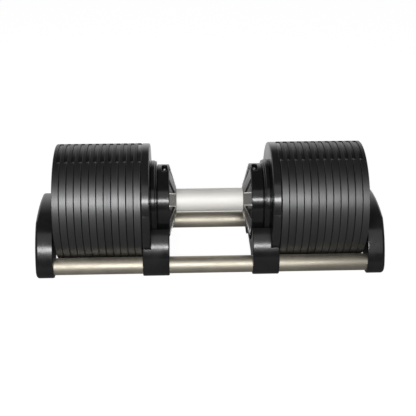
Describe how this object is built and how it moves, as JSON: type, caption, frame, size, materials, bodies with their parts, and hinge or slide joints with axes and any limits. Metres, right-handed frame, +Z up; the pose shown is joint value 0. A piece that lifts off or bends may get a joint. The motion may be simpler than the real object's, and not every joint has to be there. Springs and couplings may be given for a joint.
{
  "type": "adjustable dumbbell",
  "caption": "Twist-grip adjustable dumbbell with interlocking round plates at both ends of a steel grip, docked in a low cradle of two chrome rails and black supports.",
  "frame": {"origin": "on the floor under the middle of the grip, at the bottom centre of the box round the object", "axes": "+X along the grip towards the right head, -Y towards the user, +Z up"},
  "size_m": [0.4888, 0.165, 0.169],
  "materials": {
    "plate_steel": "satin black coating over lathe-turned steel",
    "end_disc_paint": "gloss black",
    "head_gloss": "gloss black",
    "rail_chrome": "polished",
    "cradle_plastic": "satin black moulding",
    "foot_rubber": "matte",
    "screw_steel": "zinc plated",
    "grip_steel": "satin stainless",
    "core_steel": "bright drawn",
    "sleeve_alloy": "machined",
    "drum_plastic": "matte black with white numbers",
    "rod_steel": "ground",
    "lock_steel": "ground",
    "spring_steel": "drawn wire"
  },
  "bodies": {
    "cradle": {"front_rail": "rail_chrome", "rear_rail": "rail_chrome", "left_saddle": "cradle_plastic", "right_saddle": "cradle_plastic", "left_end_support": "cradle_plastic", "right_end_support": "cradle_plastic", "rubber_feet": "foot_rubber", "rail_screws": "screw_steel"},
    "handle": {"core_tube": "core_steel", "left_end_disc": "end_disc_paint", "right_end_disc": "end_disc_paint", "left_flange": "head_gloss", "right_flange": "head_gloss", "left_dial_housing": "head_gloss", "right_dial_housing": "head_gloss", "left_shoulder": "head_gloss", "right_shoulder": "head_gloss", "left_lock_spring": "spring_steel", "right_lock_spring": "spring_steel", "head_screws": "screw_steel"},
    "grip": {"grip_tube": "grip_steel", "drive_sleeve": "sleeve_alloy", "left_number_drum": "drum_plastic", "right_number_drum": "drum_plastic"},
    "left_rod": {"left_rod": "rod_steel", "left_follower_pin": "rod_steel"},
    "right_rod": {"right_rod": "rod_steel", "right_follower_pin": "rod_steel"},
    "left_lock": {"left_lock_pin": "lock_steel"},
    "right_lock": {"right_lock_pin": "lock_steel"},
    "plate_pair_01": {"left_plate_01": "plate_steel", "right_plate_01": "plate_steel"},
    "plate_pair_02": {"left_plate_02": "plate_steel", "right_plate_02": "plate_steel"},
    "plate_pair_03": {"left_plate_03": "plate_steel", "right_plate_03": "plate_steel"},
    "plate_pair_04": {"left_plate_04": "plate_steel", "right_plate_04": "plate_steel"},
    "plate_pair_05": {"left_plate_05": "plate_steel", "right_plate_05": "plate_steel"},
    "plate_pair_06": {"left_plate_06": "plate_steel", "right_plate_06": "plate_steel"},
    "plate_pair_07": {"left_plate_07": "plate_steel", "right_plate_07": "plate_steel"},
    "plate_pair_08": {"left_plate_08": "plate_steel", "right_plate_08": "plate_steel"},
    "plate_pair_09": {"left_plate_09": "plate_steel", "right_plate_09": "plate_steel"},
    "plate_pair_10": {"left_plate_10": "plate_steel", "right_plate_10": "plate_steel"},
    "plate_pair_11": {"left_plate_11": "plate_steel", "right_plate_11": "plate_steel"},
    "plate_pair_12": {"left_plate_12": "plate_steel", "right_plate_12": "plate_steel"}
  },
  "joints": [
    {"name": "lift_handle", "type": "slide", "parent": "cradle", "child": "handle", "axis": [0, 0, 1], "range_m": [0, 0.18]},
    {"name": "twist_grip", "type": "hinge", "parent": "handle", "child": "grip", "pos_m": [0, 0, 0.08653], "axis": [1, 0, 0], "range_deg": [0, 330]},
    {"name": "slide_left_rod", "type": "slide", "parent": "handle", "child": "left_rod", "axis": [-1, 0, 0], "range_m": [0, 0.12]},
    {"name": "slide_right_rod", "type": "slide", "parent": "handle", "child": "right_rod", "axis": [1, 0, 0], "range_m": [0, 0.12]},
    {"name": "drop_left_lock", "type": "slide", "parent": "handle", "child": "left_lock", "axis": [0, 0, -1], "range_m": [0, 0.003], "deforming": ["left_lock_spring"]},
    {"name": "drop_right_lock", "type": "slide", "parent": "handle", "child": "right_lock", "axis": [0, 0, -1], "range_m": [0, 0.003], "deforming": ["right_lock_spring"]},
    {"name": "lift_plate_pair_01", "type": "slide", "parent": "cradle", "child": "plate_pair_01", "axis": [0, 0, 1], "range_m": [0, 0.18]},
    {"name": "lift_plate_pair_02", "type": "slide", "parent": "cradle", "child": "plate_pair_02", "axis": [0, 0, 1], "range_m": [0, 0.18]},
    {"name": "lift_plate_pair_03", "type": "slide", "parent": "cradle", "child": "plate_pair_03", "axis": [0, 0, 1], "range_m": [0, 0.18]},
    {"name": "lift_plate_pair_04", "type": "slide", "parent": "cradle", "child": "plate_pair_04", "axis": [0, 0, 1], "range_m": [0, 0.18]},
    {"name": "lift_plate_pair_05", "type": "slide", "parent": "cradle", "child": "plate_pair_05", "axis": [0, 0, 1], "range_m": [0, 0.18]},
    {"name": "lift_plate_pair_06", "type": "slide", "parent": "cradle", "child": "plate_pair_06", "axis": [0, 0, 1], "range_m": [0, 0.18]},
    {"name": "lift_plate_pair_07", "type": "slide", "parent": "cradle", "child": "plate_pair_07", "axis": [0, 0, 1], "range_m": [0, 0.18]},
    {"name": "lift_plate_pair_08", "type": "slide", "parent": "cradle", "child": "plate_pair_08", "axis": [0, 0, 1], "range_m": [0, 0.18]},
    {"name": "lift_plate_pair_09", "type": "slide", "parent": "cradle", "child": "plate_pair_09", "axis": [0, 0, 1], "range_m": [0, 0.18]},
    {"name": "lift_plate_pair_10", "type": "slide", "parent": "cradle", "child": "plate_pair_10", "axis": [0, 0, 1], "range_m": [0, 0.18]},
    {"name": "lift_plate_pair_11", "type": "slide", "parent": "cradle", "child": "plate_pair_11", "axis": [0, 0, 1], "range_m": [0, 0.18]},
    {"name": "lift_plate_pair_12", "type": "slide", "parent": "cradle", "child": "plate_pair_12", "axis": [0, 0, 1], "range_m": [0, 0.18]}
  ],
  "couplings": [
    {"joint": "slide_left_rod", "follows": "twist_grip", "m_per_rad": 0.020835},
    {"joint": "slide_right_rod", "follows": "twist_grip", "m_per_rad": 0.020835},
    {"joint": "drop_left_lock", "follows": "lift_handle", "ratio": 0.016667},
    {"joint": "drop_right_lock", "follows": "lift_handle", "ratio": 0.016667}
  ]
}
